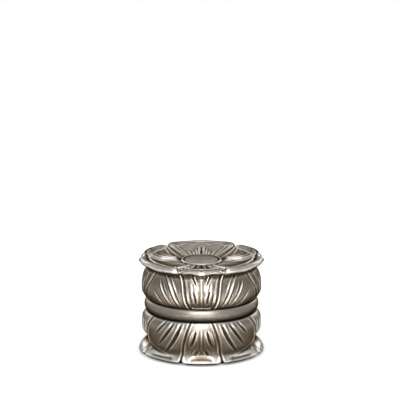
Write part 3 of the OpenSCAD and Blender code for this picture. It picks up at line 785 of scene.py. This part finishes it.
SEAM = 22.5                 # half-angle of a narrow petal; a wide petal's half-angle is 60 - SEAM
WIDE_RIM_R = 39.1
NARROW_RIM_R = 38.3
EAR_AZIMUTH = 91.5          # of the pointed ears on the two sides of the rim
NECK_TOP = 57.6
LIP_TOP = 62.1
LIP_HEIGHT = 3.9
LIP_ROLL = 2.2              # radius of the rolled lip: at the front, at the rear and in the notches
REAR_ROLL = 1.6
NOTCH_ROLL = 1.3
ROLL_START, ROLL_END = np.radians(-75.0), np.radians(140.0)
CREST_INSET = 6.4           # from the rim to the small ridge where the dish begins
DISH_R = 33.5
DISH_FLOOR = 58.7
DISH_RISE = 2.7
BOSS_R = 10.8
BOSS_FLOOR = CAP_BOTTOM + 3.6
BOSS_RING_R = 12.8
BOSS_RING = [               # raised ring around the boss, as (radius, level)
    (12.85, 58.95), (12.65, 59.35), (12.3, 59.6), (11.85, 59.65), (11.45, 59.5), (11.2, 59.15)]
STEM_R = 1.5
UNDERSIDE_RINGS = (16.4, 26.0)
CAP_PATINA_BASE = 0.4
CAP_PATINA_MOST = 0.97
CURLS = [(20.4, 37.6, 60.9, 1.5), (99.0, 36.9, 60.2, 1.4), (141.5, 36.6, 60.0, 1.2)]   # azimuth, r, level, size

# Folds of the petals inside the rim, mirrored left and right:
# angle at the boss, angle at the outer end, start radius, end radius, width, height
DISH_FOLDS = [
    (0.0, 0.0, 13.0, 33.0, 0.5, -0.6), (6.0, 4.6, 13.0, 33.0, 0.9, 0.8), (10.0, 8.0, 15.0, 31.0, 0.5, -0.5),
    (14.0, 12.0, 14.0, 33.0, 0.9, 0.8), (31.0, 30.0, 15.0, 27.0, 0.8, 0.6),
    (43.0, 45.0, 14.0, 26.0, 0.7, 0.4), (56.0, 57.0, 13.0, 28.0, 0.9, 0.5),
    (64.0, 64.0, 13.0, 31.0, 0.7, -0.5), (72.0, 72.0, 14.0, 29.0, 0.9, 0.5),
    (84.0, 83.0, 15.0, 32.0, 0.8, -0.4), (90.5, 90.5, 14.0, 33.0, 1.2, 0.8),
    (104.0, 103.5, 14.0, 34.0, 1.2, 1.1), (109.5, 108.5, 15.0, 34.0, 0.8, -0.8),
    (115.0, 113.5, 15.0, 34.0, 1.2, 1.1), (121.0, 119.0, 15.0, 33.0, 0.8, -0.7),
    (127.0, 125.0, 15.0, 31.0, 1.1, 0.7), (152.0, 150.0, 14.0, 28.0, 0.6, 0.4),
    (159.0, 160.0, 13.5, 24.0, 0.55, 0.45), (165.5, 167.5, 13.5, 22.5, 0.5, 0.45),
    (171.0, 172.5, 13.0, 26.0, 0.55, 0.55), (175.6, 176.8, 13.0, 30.0, 0.5, 0.6),
    (180.0, 180.0, 13.0, 29.0, 0.5, -0.8),
]


def petal_place(azimuth):
    """Which petal an azimuth lies in: degrees from its middle, share of a narrow one, degrees to the seam."""
    turn = np.mod(azimuth, 120.0)
    fold = np.minimum(turn, 120.0 - turn)
    offset = np.where(fold < SEAM, fold, 60.0 - fold)
    return offset, smooth(0.5 + (SEAM - fold) / 5.0), np.abs(fold - SEAM)


def dish_level(radius, azimuth):
    """Level of the petals inside the rim. The seams and folds bend forwards on their way in to the boss."""
    turn = np.minimum(azimuth, 360.0 - azimuth)
    share = np.clip((radius - BOSS_RING_R) / (DISH_R - BOSS_RING_R), 0.0, 1.2)
    inwards = np.clip(1.0 - share, 0.0, 1.0)
    bend = 22.0 * (1.0 - np.exp(-inwards / 0.25)) * between(turn, 32.0, 145.0, 42.0, 50.0)
    bend = bend + 7.5 * inwards * between(turn, 100.0, 180.0, 20.0, 40.0)
    arc = np.radians(1.0) * radius

    # a groove along every seam with two ridges beside it, all flatter at the rear
    rear = smooth((turn - 112.0) / 12.0)
    groove = mix(1.0, 0.65, rear) * (0.5 + 1.4 * smooth((share - 0.2) / 0.8))
    ridge = mix(1.0, 0.5, rear)
    z = DISH_FLOOR + DISH_RISE * share ** 1.25 + edge_lines(petal_place(turn + bend)[2] * arc, [
        (0.0, 0.55 + 0.5 * share, -groove),
        (1.5 + 0.5 * share, 0.6, ridge * (0.5 + 0.3 * share)),
        (3.5 + 0.9 * share, 0.6, ridge * (0.2 + 0.35 * share) * smooth((share - 0.15) / 0.3)),
    ])
    for inner, outer, start, end, width, height in DISH_FOLDS:
        along = (radius - start) / (end - start)
        middle = mix(inner, outer, np.clip(along, 0.0, 1.0) ** 1.5)
        fade = smooth(along / 0.15) * smooth((1.0 - along) / 0.6)
        z = z + height * fade * bell((turn + bend - middle) * arc, width)
    return z


def steps(count):
    """Even shares from 0 to 1 for a block of rows, without the first, which the block before it holds."""
    return np.linspace(0.0, 1.0, count)[1:, None]


def make_flower_cap():
    az = np.arange(CAP_COLUMNS)[None, :] * 360.0 / CAP_COLUMNS
    offset, narrow, gap = petal_place(az)
    from_front = np.minimum(az, 360.0 - az)
    behind = smooth((from_front - 92.0) / 8.0)
    seam_mm = gap * np.radians(1.0) * 37.0
    notch = bell(seam_mm, 1.7) * mix(0.35, 1.0, smooth((from_front - 40.0) / 30.0))
    tip = narrow * np.exp(-np.abs(offset / 6.0) ** 1.3)
    ear = bell(from_front - EAR_AZIMUTH, 3.8)
    wave = (1.0 - narrow) * np.cos(np.radians(offset * 12.0))
    petal_r = mix(WIDE_RIM_R, NARROW_RIM_R, narrow)
    rim_r = petal_r + 1.3 * tip + 0.8 * ear - 1.9 * notch - bell(seam_mm, 4.5)
    roll = mix(mix(LIP_ROLL, REAR_ROLL, behind), NOTCH_ROLL, notch)
    roll_r = rim_r - roll
    top_z = LIP_TOP - 0.35 * tip - 1.7 * ear - 2.4 * notch + 0.1 * wave
    low_z = LIP_TOP - LIP_HEIGHT - 0.3 * tip - 1.3 * ear + 0.25 * wave
    low_z = low_z - 0.4 * bell(from_front - 24.0, 9.0) + 0.5 * narrow * bell(offset - 11.0, 5.0)
    roll_z, half = (top_z + low_z) / 2.0, (top_z - low_z) / 2.0

    # neck, carrying on the upper lotus's petals; each block is radius, level and the painted shade it adds
    # (negative: painted highlight)
    neck_rows = np.linspace(0.0, 1.0, 14)[:, None]
    neck_z = mix(LID_EDGE, NECK_TOP, neck_rows)
    neck_r = upper_radius(az, neck_z) - edge_rounding(neck_z, LID_EDGE, NECK_TOP + 20.0, 0.05)
    blocks = [(neck_r, neck_z, 0.0)]

    # cove under the rim, darkened by a painted shadow of the rim
    rows = steps(8)
    cove_r = mix(neck_r[-1:], roll_r + roll * np.cos(ROLL_START), rows)
    cove_z = mix(NECK_TOP, roll_z + half * np.sin(ROLL_START), rows ** 2)
    blocks.append((cove_r, cove_z, 0.6 - 0.2 * rows ** 4))

    # roll of the rim, with painted shade under it and on the top of its front, and along the back of its crest
    # a painted dark line with a painted highlight inside it
    angle = mix(ROLL_START, ROLL_END, steps(37))
    crease = 0.2 * narrow * bell(offset * 0.65, 0.5)
    rear_painted_light = 0.95 * bell(angle - 1.5, 0.38) - 0.35 * smooth((angle - 1.95) / 0.25)
    front_painted_light = 0.1 * bell(angle - 1.5, 0.6) + 0.12 * smooth((34.0 - from_front) / 12.0)
    front_painted_light = front_painted_light - 0.06 * smooth((from_front - 34.0) / 12.0)
    under_painted_shade = 0.45 * smooth((-0.75 - angle) / 0.5)
    blocks.append((roll_r + (roll - crease) * np.cos(angle), roll_z + (half - crease) * np.sin(angle),
                   mix(front_painted_light, rear_painted_light, behind) + under_painted_shade))

    # channel behind the roll, with a painted highlight at the rear, up to the scalloped ridge where the dish
    # begins
    scallop = mix(0.2 + 0.7 * smooth((from_front - 130.0) / 10.0), 0.25, narrow)
    scallop = scallop * mix(np.cos(np.radians(offset * 19.2)), np.cos(np.radians(offset * 24.0)), narrow)
    crest_r = petal_r - CREST_INSET + scallop - notch
    crest_z = dish_level(crest_r, az) + 0.2 * (1.0 - notch)
    rows = steps(12)
    channel = mix(-0.75, -0.4, behind) * np.sin(np.pi * rows) * (1.0 - notch)
    channel_r = mix(roll_r + roll * np.cos(ROLL_END), crest_r, rows)
    channel_z = mix(roll_z + half * np.sin(ROLL_END), crest_z, rows) + channel
    blocks.append((channel_r, channel_z, -0.4 * behind * (1.0 - notch)))

    # dish, made paler towards the rear by a painted highlight, then the raised ring and the recess for the boss
    dish_r = mix(crest_r, BOSS_RING_R + 0.25, steps(56))
    settle = (crest_z - dish_level(crest_r, az)) * bell(crest_r - dish_r, 1.1)
    dish_painted_highlight = -0.05 - 0.15 * smooth((from_front - 105.0) / 30.0)
    blocks.append((dish_r, dish_level(dish_r, az) + settle, dish_painted_highlight))
    recess = [(BOSS_R + 0.1, BOSS_FLOOR), (STEM_R + 0.1, BOSS_FLOOR)]
    blocks.extend((np.full((1, 1), r), np.full((1, 1), z), 0.0) for r, z in BOSS_RING + recess)

    grids = [np.broadcast_arrays(*block, az)[:3] for block in blocks]
    radius, level, painted_light = (np.concatenate(rows) for rows in zip(*grids))
    outside = turned_grid(az, radius, level)
    on_neck = np.arange(len(radius))[:, None] < len(neck_rows)
    shade = np.where(on_neck, lip_shade(level), 1.0)
    patina_and_shading = np.clip(patina_and_shading_of(outside, CAP_PATINA_BASE) * shade + painted_light, 0.0, CAP_PATINA_MOST)
    underside = [(r, CAP_BOTTOM) for r in (STEM_R + 0.1, *UNDERSIDE_RINGS)]
    return shell_piece("flower_cap_casting", az, outside, patina_and_shading, underside)


# ---------------------------------------------------------------- curled tips and boss

def unit(vector):
    return vector / np.linalg.norm(vector)


def curl_points(ball, azimuth, radius, level, size):
    """Points of one curled petal tip, from points of a unit ball: a leaning lobe with a deep round eye."""
    inward = -1.0 if azimuth % 120.0 < 60.0 else 1.0      # towards the middle of the narrow petal
    turn = np.radians(azimuth)
    out = np.array([np.sin(turn), -np.cos(turn), 0.0])
    along = inward * np.array([np.cos(turn), np.sin(turn), 0.0])
    up = np.array([0.0, 0.0, 1.0])
    lean = unit(0.6 * along + 0.6 * up - 0.5 * out)
    eye = unit(0.8 * out + 0.32 * along + 0.5 * up)
    away = np.degrees(np.arccos(np.clip(ball @ eye, -1.0, 1.0)))
    shape = ball * (1.0 + 0.1 * bell(away - 36.0, 12.0) - 0.75 * bell(away, 19.0))[:, None]
    shape = shape + 0.25 * np.outer(shape @ lean, lean)
    return radius * out + level * up + size * shape, np.clip(0.12 + 1.1 * bell(away, 27.0), 0.0, 1.0)


def make_petal_curls():
    """The six curled tips where two petals meet at the rim."""
    template = bmesh.new()
    bmesh.ops.create_icosphere(template, subdivisions=4, radius=1.0)
    ball = np.array([v.co for v in template.verts])
    faces = np.array([[v.index for v in f.verts] for f in template.faces])
    template.free()
    points, patina_and_shading, polygons = [], [], []
    for azimuth, radius, level, size in CURLS:
        for side in (azimuth, 360.0 - azimuth):
            polygons.append(faces + len(points) * len(ball))
            place, tone_and_shading = curl_points(ball, side, radius, level, size)
            points.append(place)
            patina_and_shading.append(tone_and_shading)
    return patina_and_shading_mesh("petal_curls", *(np.concatenate(part) for part in (points, polygons, patina_and_shading)))


def make_cap_medallion():
    """Plain domed boss on its stem: a closed turned shape with patina kept at the foot of its rim."""
    low, high = level_range("cap_medallion")
    rim_z = BOSS_FLOOR + 1.0
    dome = [(BOSS_R * np.sin(t), rim_z - 0.15 + (high - rim_z + 0.15) * np.cos(t) ** 0.7)
            for t in np.linspace(0.0, np.pi / 2, 40)[1:-1]]
    seat = BOSS_FLOOR + 0.02
    profile = [(0.02, high)] + dome + [
        (BOSS_R, rim_z - 0.3), (BOSS_R, seat), (STEM_R, seat), (STEM_R, low), (0.02, low)]
    around = np.arange(180)[None, :] * 2.0
    points = np.concatenate([turned_grid(around, r, z) for r, z in profile[::-1]])
    radius = np.hypot(points[..., 0], points[..., 1])
    patina_and_shading = 0.19 + 0.6 * smooth((radius - BOSS_R + 0.45) / 0.4) * (points[..., 2] < high)
    return grid_piece("cap_medallion_boss", points, np.clip(patina_and_shading, 0.0, 0.85))


# ---------------------------------------------------------------- the pieces

def cast(piece, body):
    piece.data.materials.append(FINISHES["cast_pewter"])
    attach(piece, body)
    return piece


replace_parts(cast(make_lower_lotus(), "base"), "lower_lotus")
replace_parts(cast(make_upper_lotus(), "dial"), "upper_lotus")
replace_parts(cast(make_flower_cap(), "lid"), "flower_cap")
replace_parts(cast(make_cap_medallion(), "lid"), "cap_medallion")
cast(make_petal_curls(), "lid")
